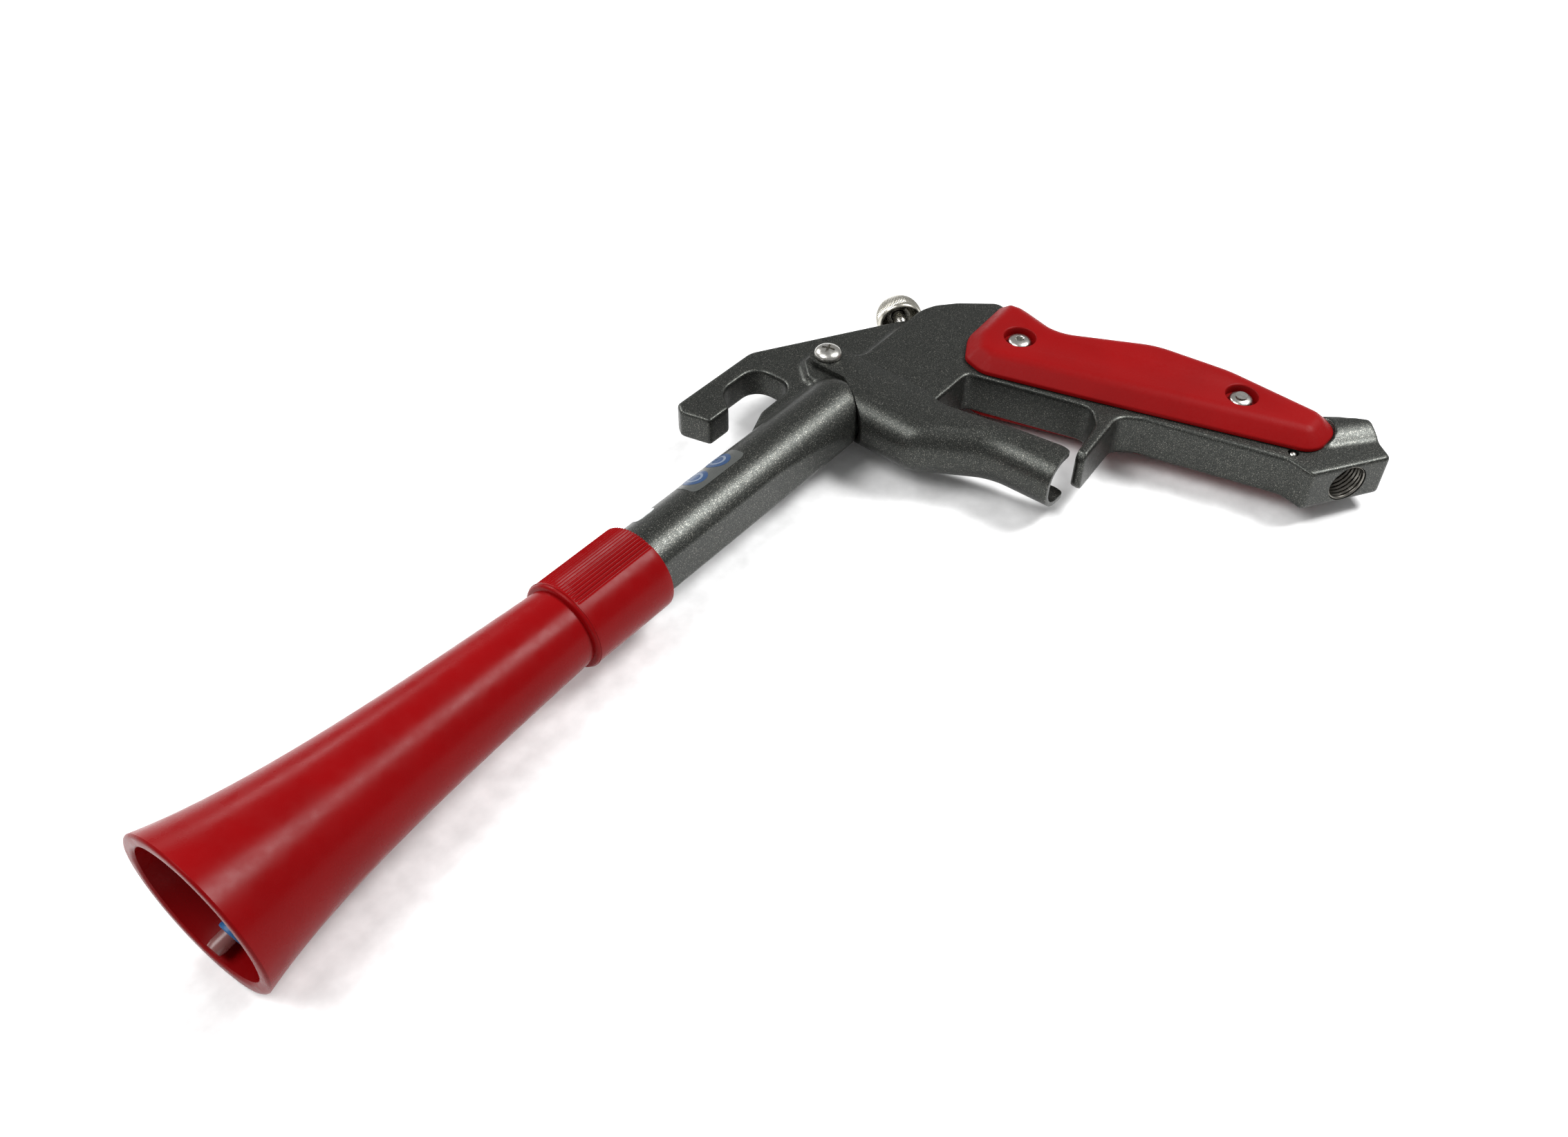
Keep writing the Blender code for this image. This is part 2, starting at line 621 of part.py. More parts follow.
# A grip plate's section, from its seat outward: (inset from the outline, height). It has a short wall
# and a soft slope up to the flat face.
GRIP_SECTION = [(0, 0), (0, 0.9), (0.4, 1.4), (5.2, 4.8), (7.2, GRIP_TOP - BODY_HALF - GAP)]


def inset(corners, distance):
    """A clockwise outline's corners, moved inward by a distance."""
    moved = []
    for i, (x, y, radius) in enumerate(corners):
        before, after = Vector(corners[i - 1][:2]), Vector(corners[(i + 1) % len(corners)][:2])
        come = (Vector((x, y)) - before).normalized()
        leave = (after - Vector((x, y))).normalized()
        inward = Vector((come.y + leave.y, -come.x - leave.x)) / (1 + come.dot(leave))
        convex = come.cross(leave) < 0
        moved.append((x + inward.x * distance, y + inward.y * distance,
                      max(0.8, radius + (-distance if convex else distance))))
    return moved


def crowned_plate(name, finish, corners, seat, side, section):
    """A plate on a seat at z = seat, whose rim follows a section of (inset, height) pairs."""
    bm = bmesh.new()
    rings = []
    for distance, height in section:
        z = side * (seat + height)
        rings.append([bm.verts.new(at(x, y, z)) for x, y in outline(inset(corners, distance))])
    for lower, upper in zip(rings, rings[1:]):
        for i in range(len(lower)):
            j = (i + 1) % len(lower)
            bm.faces.new((lower[i], lower[j], upper[j], upper[i]))
    bm.faces.new(rings[0])
    bm.faces.new(rings[-1])
    bmesh.ops.recalc_face_normals(bm, faces=bm.faces)
    mesh = bpy.data.meshes.new(name)
    bm.to_mesh(mesh)
    bm.free()
    return add_object(name, mesh, finish)


def grip(name, side):
    piece = crowned_plate(name, "red_grip", GRIP, BODY_HALF + GAP, side, GRIP_SECTION)
    for number, (x, y) in enumerate(SCREW_SPOTS, 1):
        cut(piece,
            rod(f"{name}_hole_{number}", None, (x, y, 0), (x, y, side * 30), SCREW_R + 0.35, 20),
            rod(f"{name}_counterbore_{number}", None, (x, y, side * (GRIP_TOP - SCREW_SEAT)),
                (x, y, side * 30), COUNTERBORE_R, 32))


def grip_screw(name, side, spot):
    """A button-head screw with a hexagon socket."""
    x, y = spot
    seat = side * (GRIP_TOP - SCREW_SEAT + FINE_GAP)
    head = [(0, 0), (0, SCREW_HEAD_R), (0.7, SCREW_HEAD_R), (1.6, 3.0), (2.2, 1.9), (2.2, 0)]
    screw = turned(name, "steel", head, (x, y, seat), (0, 0, side), 28)
    join(screw, rod(name + "_shank", None, (x, y, seat + side * 0.4), (x, y, side * 1.2), SCREW_R, 20))
    cut(screw, prism(name + "_socket", 6, (x, y, seat + side * 2.4), (0, 0, 1), 1.45, 2.6))


def grips():
    grip("grip_right", 1)
    grip("grip_left", -1)
    for number, spot in enumerate(SCREW_SPOTS, 1):
        grip_screw(f"grip_screw_right_{number}", 1, spot)
        grip_screw(f"grip_screw_left_{number}", -1, spot)
        tube(f"grip_sleeve_{number}", "brass", (*spot, -7.0), (*spot, 7.0), SLEEVE_R, SCREW_R + 0.3, 24)
    rod("locating_dowel", "steel", (*DOWEL, 4.3), (*DOWEL, BODY_HALF), 1.45, 16)


def inlet():
    mouth, out = toward_inlet()
    threads = 6
    pitch, depth = 1.34, 0.45
    profile = [(0.4, INLET_THREAD_R + 0.5), (0.4, INLET_R - FINE_GAP), (11.0, INLET_R - FINE_GAP)]
    for i in range(threads, 0, -1):
        profile += [(0.4 + pitch * (i + 0.5), INLET_THREAD_R), (0.4 + pitch * i, INLET_THREAD_R + depth)]
    profile.insert(3, (11.0, INLET_THREAD_R))
    turned("inlet_insert", "steel", profile, tuple(mouth), tuple(-out), 32)
    turned("inlet_strainer", "steel", [(0, 0), (0, 5.6), (1.2, 5.6), (1.2, 0)],
           tuple(mouth - out * 11.5), tuple(-out), 28)


# ---------------------------------------------------------------- assembly

clear_scene()
PIECES = new_collection("air_cleaning_gun")
CUTTERS = new_collection("cutters")
FRAME = bpy.data.objects.new("gun_frame", None)
PIECES.objects.link(FRAME)
FRAME.location = at(*FRAME_ORIGIN)
FRAME.rotation_euler = Vector((-REST_SLOPE[0], -REST_SLOPE[1], 1)).rotation_difference(Vector((0, 0, 1))).to_euler()

body_casting()
cone()
whip()
lever()
pivot()
valve()
regulator()
grips()
inlet()
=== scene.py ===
"""Looks of the compressed-air cleaning gun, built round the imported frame.

The shapes are laid out in the gun's own frame, in millimetres: the barrel's axis is X with the cone's
mouth at x = 0, +Y is the hook's side and the casting's parting plane is z = 0. The gun lies on its
left side, so that frame leans a little to the floor.
"""
import json
import math

import bmesh
import bpy
import numpy as np
from mathutils import Matrix, Vector

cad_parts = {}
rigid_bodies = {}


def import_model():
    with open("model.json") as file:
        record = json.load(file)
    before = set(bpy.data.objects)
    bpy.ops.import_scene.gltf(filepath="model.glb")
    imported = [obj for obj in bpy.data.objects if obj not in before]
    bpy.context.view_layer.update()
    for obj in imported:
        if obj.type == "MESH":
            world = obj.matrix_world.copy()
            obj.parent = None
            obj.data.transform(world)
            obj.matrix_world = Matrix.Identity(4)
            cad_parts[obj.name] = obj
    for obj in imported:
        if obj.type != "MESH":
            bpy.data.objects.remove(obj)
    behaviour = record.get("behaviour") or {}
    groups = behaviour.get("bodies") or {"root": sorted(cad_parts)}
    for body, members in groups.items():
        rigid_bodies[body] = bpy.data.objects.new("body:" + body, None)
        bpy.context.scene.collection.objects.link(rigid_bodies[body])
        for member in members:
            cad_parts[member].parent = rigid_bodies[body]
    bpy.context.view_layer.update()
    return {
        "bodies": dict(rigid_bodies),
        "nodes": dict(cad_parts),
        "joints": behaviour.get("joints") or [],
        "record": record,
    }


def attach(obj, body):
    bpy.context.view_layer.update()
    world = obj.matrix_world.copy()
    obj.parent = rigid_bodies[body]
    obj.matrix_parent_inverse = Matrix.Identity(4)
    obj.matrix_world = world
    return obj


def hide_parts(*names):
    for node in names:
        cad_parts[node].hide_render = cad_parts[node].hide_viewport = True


MM = 0.001
REST_SLOPE = (0.03436, 0.00865)
FRAME_ORIGIN = (-162.476, 56.771, 23.009)
LEAN = Vector((-REST_SLOPE[0], -REST_SLOPE[1], 1)).rotation_difference(Vector((0, 0, 1))).to_matrix()
GUN = Matrix.Translation(Vector(FRAME_ORIGIN) * MM) @ LEAN.to_4x4()

MOUTH_R, MOUTH_INNER_R = 23.0, 19.35
CONE_LENGTH, COLLAR_R, COLLAR_END = 110.0, 13.2, 139.5
BARREL_R, BARREL_END, BARREL_FLAT = 10.8, 234.6, 9.15
BODY_HALF, HOOK_HALF = 7.3, 5.0
GAP = 0.3
GRIP_TOP, SCREW_SEAT = 13.0, 3.0
SHEET, LEVER_HALF = 1.5, 9.0
PIVOT = (241.3, 12.6)
SCREW_SPOTS = ((285.6, -31.4), (306.0, -101.4))
KNOB_CENTRE, KNOB_LEAN, KNOB_R, KNOB_RIM = (283.6, 14.2), math.radians(42.0), 7.85, -3.2
NEEDLE_R, NEEDLE_PITCH = 2.2, 0.75
INLET_R, INLET_THREAD_R, INLET_PITCH = 6.58, 5.75, 1.337
INLET_FROM, INLET_TO = (291.7, -133.7), (315.3, -149.4)
DOWEL = (297.6, -124.6)
TUBE_R, TUBE_BORE = 2.2, 1.25
RING_R, RING_FROM, RING_LENGTH = 3.4, 4.8, 3.6
RIB_COUNT, RIB_DEPTH, RIB_START = 80, 0.34, 111.7           # on the cone's collar
RIB_FROM, RIB_TO = math.radians(31), math.radians(119)


# ---------------------------------------------------------------- shader nodes

class Shader:
    """A Principled material and the nodes that feed it."""

    def __init__(self, name, colour, roughness, metallic=0.0):
        self.material = bpy.data.materials.new(name)
        self.material.use_nodes = True
        self.tree = self.material.node_tree
        self.out = self.tree.nodes["Principled BSDF"]
        self.out.inputs["Base Color"].default_value = (*colour, 1)
        self.out.inputs["Roughness"].default_value = roughness
        self.out.inputs["Metallic"].default_value = metallic
        self.place = self.tree.nodes.new("ShaderNodeTexCoord").outputs["Object"]

    def link(self, source, target):
        self.tree.links.new(source, target)

    def set(self, **sockets):
        for name, value in sockets.items():
            self.out.inputs[name.replace("_", " ")].default_value = value
        return self

    def stretched(self, scale, turn=(0, 0, 0)):
        mapping = self.tree.nodes.new("ShaderNodeMapping")
        mapping.inputs["Scale"].default_value = scale
        mapping.inputs["Rotation"].default_value = turn
        self.link(self.place, mapping.inputs["Vector"])
        return mapping.outputs["Vector"]

    def noise(self, scale, detail=2.0, rough=0.5, vector=None):
        node = self.tree.nodes.new("ShaderNodeTexNoise")
        node.inputs["Scale"].default_value = scale
        node.inputs["Detail"].default_value = detail
        node.inputs["Roughness"].default_value = rough
        self.link(vector or self.place, node.inputs["Vector"])
        return node.outputs["Fac"]

    def ramp(self, value, stops):
        node = self.tree.nodes.new("ShaderNodeValToRGB")
        ramp = node.color_ramp
        while len(ramp.elements) < len(stops):
            ramp.elements.new(0.5)
        for element, (position, colour) in zip(ramp.elements, stops):
            element.position = position
            element.color = (*colour, 1) if isinstance(colour, tuple) else (colour, colour, colour, 1)
        self.link(value, node.inputs["Fac"])
        return node.outputs["Color"]

    def mix(self, amount, first, second, mode="MIX"):
        node = self.tree.nodes.new("ShaderNodeMix")
        node.data_type = "RGBA"
        node.blend_type = mode
        for socket, value in ((node.inputs["Factor"], amount), (node.inputs["A"], first),
                              (node.inputs["B"], second)):
            if isinstance(value, bpy.types.NodeSocket):
                self.link(value, socket)
            elif isinstance(value, tuple):
                socket.default_value = (*value, 1)
            else:
                socket.default_value = value
        return node.outputs["Result"]

    def colour(self, value):
        self.link(value, self.out.inputs["Base Color"])

    def rough(self, value):
        self.link(value, self.out.inputs["Roughness"])

    def bump(self, height, strength, distance=0.0001):
        node = self.tree.nodes.new("ShaderNodeBump")
        node.inputs["Strength"].default_value = strength
        node.inputs["Distance"].default_value = distance
        self.link(height, node.inputs["Height"])
        self.link(node.outputs["Normal"], self.out.inputs["Normal"])


def paint(name="casting_coat", colour=(0.032, 0.034, 0.031)):
    """Dark grey coat with fine metal flakes and an orange-peel skin."""
    s = Shader(name, colour, 0.36, 0.8)
    dark = tuple(c * 0.6 for c in colour)
    light = tuple(c * 1.6 for c in colour)
    flake = s.ramp(s.noise(3000, 2, 0.6), [(0.35, dark), (0.52, colour), (0.68, light)])
    sparkle = s.ramp(s.noise(3600, 1, 0.5), [(0.6, 0.0), (0.72, 1.0)])
    s.colour(s.mix(sparkle, flake, (0.19, 0.185, 0.165)))
    s.rough(s.ramp(s.noise(900, 3, 0.6), [(0.25, 0.3), (0.75, 0.44)]))
    s.bump(s.noise(2200, 3, 0.65), 0.3, 0.00005)
    return s.material


def red_moulding(name, colour, rough, grain, depth):
    s = Shader(name, colour, rough)
    s.set(Specular_IOR_Level=0.07)
    shade = s.ramp(s.noise(60, 3, 0.5), [(0.3, tuple(c * 0.93 for c in colour)),
                                         (0.7, tuple(min(1, c * 1.05) for c in colour))])
    s.colour(shade)
    s.rough(s.ramp(s.noise(grain * 0.5, 2), [(0.3, rough - 0.05), (0.7, rough + 0.06)]))
    s.bump(s.noise(grain, 3, 0.6), depth, 0.00005)
    return s.material


def bare_metal(name, colour, rough, spread=0.12, scale=(900, 900, 900)):
    s = Shader(name, colour, rough, 1.0)
    grain = s.noise(1.0, 3, 0.6, s.stretched(scale))
    s.rough(s.ramp(grain, [(0.25, max(0.05, rough - spread / 2)), (0.75, rough + spread / 2)]))
    tone = s.ramp(s.noise(180, 3, 0.6), [(0.3, tuple(c * 0.86 for c in colour)), (0.7, colour)])
    s.colour(tone)
    s.bump(grain, 0.12, 0.00003)
    return s.material


def plain(name, colour, rough, grain=900, depth=0.15, **sockets):
    s = Shader(name, colour, rough).set(**sockets)
    s.colour(s.ramp(s.noise(140, 3), [(0.3, tuple(c * 0.85 for c in colour)), (0.7, colour)]))
    s.rough(s.ramp(s.noise(grain, 2), [(0.3, rough * 0.85), (0.7, min(1, rough * 1.15))]))
    s.bump(s.noise(grain, 2), depth, 0.00004)
    return s.material


# ---------------------------------------------------------------- shapes

def arc_corner(before, corner, after, radius, step):
    here = Vector(corner)
    back = (Vector(before) - here).normalized()
    ahead = (Vector(after) - here).normalized()
    angle = back.angle(ahead)
    if radius <= 0 or angle > math.radians(178):
        return [tuple(here)]
    room = 0.49 * min((Vector(before) - here).length, (Vector(after) - here).length)
    reach = min(radius / math.tan(angle / 2), room)
    radius = reach * math.tan(angle / 2)
    centre = here + (back + ahead).normalized() * math.hypot(radius, reach)
    first = here + back * reach - centre
    turn = math.pi - angle
    if first.cross(here + ahead * reach - centre) < 0:
        turn = -turn
    count = max(1, math.ceil(abs(turn) / step))
    return [tuple(centre + Matrix.Rotation(turn * i / count, 2) @ first) for i in range(count + 1)]


def outline(corners, step=math.radians(6)):
    """A closed outline: each corner is (x, y) or (x, y, radius)."""
    points = []
    for i, corner in enumerate(corners):
        radius = corner[2] if len(corner) > 2 else 0
        after = corners[(i + 1) % len(corners)]
        points += arc_corner(corners[i - 1][:2], corner[:2], after[:2], radius, step)
    return points


def raw_object(name, bm):
    bmesh.ops.recalc_face_normals(bm, faces=bm.faces)
    mesh = bpy.data.meshes.new(name)
    bm.to_mesh(mesh)
    bm.free()
    obj = bpy.data.objects.new(name, mesh)
    bpy.context.scene.collection.objects.link(obj)
    return obj


def plate(name, points, low, high):
    """An outline in XY drawn out along Z, still in millimetres of the gun's frame."""
    bm = bmesh.new()
    face = bm.faces.new([bm.verts.new((x, y, low)) for x, y in points])
    drawn = bmesh.ops.extrude_face_region(bm, geom=[face])
    moved = [item for item in drawn["geom"] if isinstance(item, bmesh.types.BMVert)]
    bmesh.ops.translate(bm, verts=moved, vec=(0, 0, high - low))
    return raw_object(name, bm)


def turned(name, profile, start, direction=(1, 0, 0), sides=96, shift=None):
    """A turned piece from (distance along the axis, radius) pairs. shift(height, turn, radius)
    adds to the radius."""
    aim = Vector(direction).to_track_quat("Z", "Y").to_matrix().to_4x4()
    frame = Matrix.Translation(Vector(start)) @ aim
    closed = profile[0][1] > 0 and profile[-1][1] > 0
    bm = bmesh.new()
    rings = []
    for height, radius in profile:
        if radius <= 0:
            rings.append([bm.verts.new(frame @ Vector((0, 0, height)))])
            continue
        loop = []
        for i in range(sides):
            turn = math.tau * i / sides
            r = radius + (shift(height, turn, radius) if shift else 0)
            loop.append(bm.verts.new(frame @ Vector((r * math.cos(turn), r * math.sin(turn), height))))
        rings.append(loop)
    pairs = list(zip(rings, rings[1:])) + ([(rings[-1], rings[0])] if closed else [])
    for a, b in pairs:
        for i in range(sides):
            j = (i + 1) % sides
            corners = [a[i % len(a)], a[j % len(a)], b[j % len(b)], b[i % len(b)]]
            unique = [v for k, v in enumerate(corners) if v not in corners[:k]]
            if len(unique) > 2:
                bm.faces.new(unique)
    return raw_object(name, bm)


def rod(name, start, end, radius, sides=64):
    length = (Vector(end) - Vector(start)).length
    return turned(name, [(0, 0), (0, radius), (length, radius), (length, 0)], start,
                  Vector(end) - Vector(start), sides)


def baked(obj):
    """The object with its modifiers applied."""
    graph = bpy.context.evaluated_depsgraph_get()
    mesh = bpy.data.meshes.new_from_object(obj.evaluated_get(graph))
    obj.modifiers.clear()
    obj.data = mesh
    return obj


def combine(obj, others, operation):
    """Booleans an object with others, which are used up."""
    for other in others:
        made = obj.modifiers.new("boolean", "BOOLEAN")
        made.operation = operation
        made.object = other
        made.solver = "EXACT"
    baked(obj)
    for other in others:
        bpy.data.objects.remove(other, do_unlink=True)
    return obj


def merged(objects):
    """Several shapes that don't touch, as one."""
    bm = bmesh.new()
    for obj in objects:
        bm.from_mesh(obj.data)
        bpy.data.objects.remove(obj, do_unlink=True)
    return raw_object("merged", bm)


def bevel(obj, width, segments=3, angle=40):
    made = obj.modifiers.new("bevel", "BEVEL")
    made.width = width
    made.segments = segments
    made.limit_method = "ANGLE"
    made.angle_limit = math.radians(angle)
    made.harden_normals = False
    return baked(obj)


def voxels(obj, size):
    made = obj.modifiers.new("voxels", "REMESH")
    made.mode = "VOXEL"
    made.voxel_size = size
    return baked(obj)


def relax(obj, times, factor=0.5):
    made = obj.modifiers.new("relax", "SMOOTH")
    made.factor = factor
    made.iterations = times
    return baked(obj)


def swell(obj, distance):
    made = obj.modifiers.new("swell", "DISPLACE")
    made.mid_level = 0
    made.strength = distance
    return baked(obj)


def piece(obj, body, material, replaces=(), flat=None):
    """Moves a finished shape from the gun's millimetres to the world and rides it on its body."""
    obj.data.transform(GUN @ Matrix.Scale(MM, 4))
    obj.data.materials.clear()
    obj.data.materials.append(material)
    obj.data.shade_smooth()
    if flat:
        obj.data.set_sharp_from_angle(angle=math.radians(flat))
    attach(obj, body)
    if replaces:
        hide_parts(*replaces)
    return obj


def knob_axis():
    return Vector((math.sin(KNOB_LEAN), math.cos(KNOB_LEAN), 0))


def knob_point(distance):
    return Vector((*KNOB_CENTRE, 0)) + knob_axis() * distance


def inlet_place():
    start, end = Vector(INLET_FROM), Vector(INLET_TO)
    edge = (end - start).normalized()
    return start.lerp(end, 0.53).to_3d(), Vector((edge.y, -edge.x, 0))


# ---------------------------------------------------------------- the casting

HOOK = [
    (195.7, 35.8, 2.5), (230.7, 35.8, 7.0), (269.7, 13.8), (284.5, 4.9), (284.5, -4.0),
    (196.2, -4.0), (196.2, 4.5), (196.6, 9.0, 1.0), (202.2, 11.0, 8.0), (209.8, 14.0, 4.0),
    (226.2, 14.4, 5.5), (225.8, 29.8, 6.0), (209.7, 29.8, 8.0), (204.7, 22.6, 1.5), (195.9, 22.6, 1.2),
    (193.4, 32.5, 2.0),
]
BODY = [
    (230.3, 0.0), (230.3, 12.5, 2.2), (236.0, 18.6, 3.0), (247.0, 18.6, 3.0), (250.0, 5.9, 4.0),
    (284.0, 6.3, 10.0), (289.5, 4.3, 10.0), (296.0, -0.9, 10.0), (304.8, -11.4, 4.0), (302.6, -24.0, 6.0),
    (299.8, -38.0, 12.0), (314.6, -68.0, 30.0), (318.4, -92.0, 40.0), (318.8, -122.0, 8.0),
    (322.8, -131.0, 6.0), (326.0, -137.3, 1.8), (316.0, -149.8, 1.6), (291.7, -133.7, 1.6),
    (293.6, -125.4, 5.0), (281.4, -80.4, 5.0), (277.2, -74.0, 5.0), (253.0, -75.8, 1.8),
    (253.2, -72.4, 1.5), (270.0, -69.9, 6.0), (276.0, -64.6, 5.0), (265.0, -25.5, 3.0),
    (236.2, -25.5, 2.2), (236.2, 0.0),
]


def bore(start, direction, steps, sides=64):
    """A stepped cutter: each step is (where it ends, its radius)."""
    profile, begin = [(0, 0)], 0
    for end, radius in steps:
        profile += [(begin, radius), (end, radius)]
        begin = end
    return turned("bore", profile + [(begin, 0)], start, direction, sides)


def tail_bead(side):
    """The low rounded swelling on the handle's end, beside the grip's lower edge."""
    start, along, radius = Vector((311.1, -125.5)), Vector((0.78, -0.626)), 12.5
    level = side * (BODY_HALF + 2.4 - radius)
    swelling = rod("bead", (*start, level), (*(start + along * 24), level), radius, 120)
    combine(swelling, [plate("tail", outline(BODY), *sorted((0, side * 12)))], "INTERSECT")
    clear = plate("clear", outline(inset(GRIP, -0.35)), *sorted((side * (BODY_HALF - 0.2), side * 15)))
    return combine(swelling, [clear], "DIFFERENCE")


def casting(material):
    profile = [(118, 0), (118, 9.4), (124, 9.4), (125, BARREL_R)]
    for i in range(13):
        turn = math.radians(7.5 * i)
        profile.append((BARREL_END - 6 + 6 * math.sin(turn), BARREL_R - 3.5 + 3.5 * math.cos(turn)))
    profile += [(238, 6.5), (238, 0)]
    body = bevel(plate("body_shell", outline(BODY), -BODY_HALF, BODY_HALF), 1.1, 3, 60)
    hook = bevel(plate("hook", outline(HOOK), -HOOK_HALF, HOOK_HALF), 1.3, 3, 60)
    barrel = turned("barrel", profile, (0, 0, 0))
    beads = [tail_bead(side) for side in (1, -1)]
    combine(body, [hook, barrel] + beads, "UNION")
    flat = plate("flat", [(110, -BARREL_FLAT), (190, -BARREL_FLAT), (225, -11.1), (228.6, -7.6),
                          (228.6, -20), (110, -20)], -12, 12)
    turns = [math.radians(a) for a in range(-64, 65, 4)]
    finger = plate("finger", [(240, -9)] + [(262.2 - 10 * math.cos(a), 10 * math.sin(a)) for a in turns]
                   + [(240, 9)], 70, 80)
    finger.data.transform(Matrix.Rotation(math.radians(90), 4, "X"))
    combine(body, [flat, finger], "DIFFERENCE")
    cell, fillet = 0.5, 1.4
    voxels(body, cell)
    swell(body, fillet)
    voxels(body, cell)
    swell(body, -fillet)
    relax(body, 6)
    inlet, out = inlet_place()
    bores = [
        bore((96, 0, 0), (1, 0, 0), [(35, 6.0), (156, 5.0)]),
        bore((230, -18, 0), (1, 0, 0), [(36, 5.0)]),
        bore(inlet + out * 5, -out, [(21, INLET_R)], 96),
        bore(knob_point(4), -knob_axis(), [(20.5, 2.45), (22.2, 3.8), (25.0, 2.45), (33.4, 1.9)]),
        bore((*PIVOT, -30), (0, 0, 1), [(60, 3.65)]),
        bore((*DOWEL, 4), (0, 0, 1), [(20, 1.75)]),
    ] + [bore((x, y, -30), (0, 0, 1), [(60, 3.35)]) for x, y in SCREW_SPOTS]
    combine(body, [merged(bores)], "DIFFERENCE")
    edge = [(225.0, -40), (225.0, -12.8), (235.2, 2.0)]
    flange = edge + [(235.2, 30), (260, 30), (260, -40)]
    curve = edge + [(236.1, -0.2), (236.1, -40)]
    for area, near in ((flange, 7.4), (curve, 2.0)):
        sides = [plate("room", area, near, 30), plate("room", area, -30, -near)]
        combine(body, [merged(sides)], "DIFFERENCE")
    return piece(body, "frame", material, ["body_casting"], flat=40)


def patch(name, x, turn, half, radius, lift, material, hollow=0.0, square=2.0):
    """A thin label on the barrel, centred at x and turn.

    Its half sizes run along the barrel and round it.
    """
    rings, sides = 8, 72
    bm = bmesh.new()
    loops = []
    for i in range(rings + 1):
        share = hollow + (1 - hollow) * i / rings
        loop = []
        for j in range(sides):
            angle = math.tau * j / sides
            across, along = math.cos(angle), math.sin(angle)
            grow = share / (abs(across) ** square + abs(along) ** square) ** (1 / square)
            swing = turn + half[1] * grow * along / radius
            out = radius + lift
            spot = (x + half[0] * grow * across, out * math.cos(swing), out * math.sin(swing))
            loop.append(bm.verts.new(spot))
        loops.append(loop)
    for inner, outer in zip(loops, loops[1:]):
        for j in range(sides):
            k = (j + 1) % sides
            bm.faces.new((inner[j], inner[k], outer[k], outer[j]))
    if not hollow:
        bmesh.ops.remove_doubles(bm, verts=bm.verts, dist=0.0001)
    obj = raw_object(name, bm)
    thick = obj.modifiers.new("film", "SOLIDIFY")
    thick.thickness = 0.05
    thick.offset = 0
    return piece(baked(obj), "frame", material, flat=30)


# ---------------------------------------------------------------- the cone and the whip tube

def flare(x):
    return 11.57 + 7.09 * math.exp(-x / 28) + 0.0413 * (CONE_LENGTH - x)


def wall(x):
    return 2.5 + 1.15 * math.exp(-x / 6)


def rib(x, turn, radius):
    """Grooves of the two ribbed sectors of the collar."""
    if x < RIB_START or radius < 12.6:
        return 0
    for centre in (RIB_FROM, RIB_FROM + math.pi):
        along = (turn - centre) % math.tau
        if along < RIB_TO - RIB_FROM:
            fade = min(1, (x - RIB_START) / 0.5) * min(1, 12 * min(along, RIB_TO - RIB_FROM - along))
            return -RIB_DEPTH * fade * (0.5 + 0.5 * math.cos(RIB_COUNT * along)) ** 0.7
    return 0


def cone(material):
    outer = [(x, flare(x)) for x in np.linspace(0.7, CONE_LENGTH, 64)]
    inner = [(x, flare(x) - wall(x)) for x in np.linspace(108, 0.9, 50)]
    rim = [(0.55, MOUTH_INNER_R + 0.12), (0.25, MOUTH_INNER_R + 0.4), (0.06, MOUTH_INNER_R + 0.8),
           (0, MOUTH_INNER_R + 1.2), (0, MOUTH_R - 0.9), (0.08, MOUTH_R - 0.5), (0.3, MOUTH_R - 0.18)]
    collar = [(110.12, 12.3), (110.25, 12.75), (110.5, 13.0), (110.9, COLLAR_R), (111.1, COLLAR_R),
              (111.2, 13.36), (111.5, 13.36), (111.6, COLLAR_R), (111.75, COLLAR_R)]
    collar += [(x, COLLAR_R) for x in np.linspace(112.2, COLLAR_END - 0.5, 14)]
    collar += [(COLLAR_END - 0.2, 13.12), (COLLAR_END, 12.85)]
    inside = [(COLLAR_END, 11.1), (124.6, 11.1), (123.6, 9.7), (116.7, 9.7), (116.7, 8.7)]
    obj = turned("cone_shell", outer + collar + inside + inner + rim, (0, 0, 0), sides=960, shift=rib)
    return piece(obj, "frame", material, ["cone_horn"], flat=35)


def tube_route(x):
    """Middle of the whip tube: it leaves the hub on the axis and lies down on the cone's wall."""
    share = max(0.0, (104 - x) / 96.6)
    drop = 14.3 * (1.58 * share ** 2 - 0.58 * share ** 3)
    return Vector((x, 0.07 * drop, -drop))


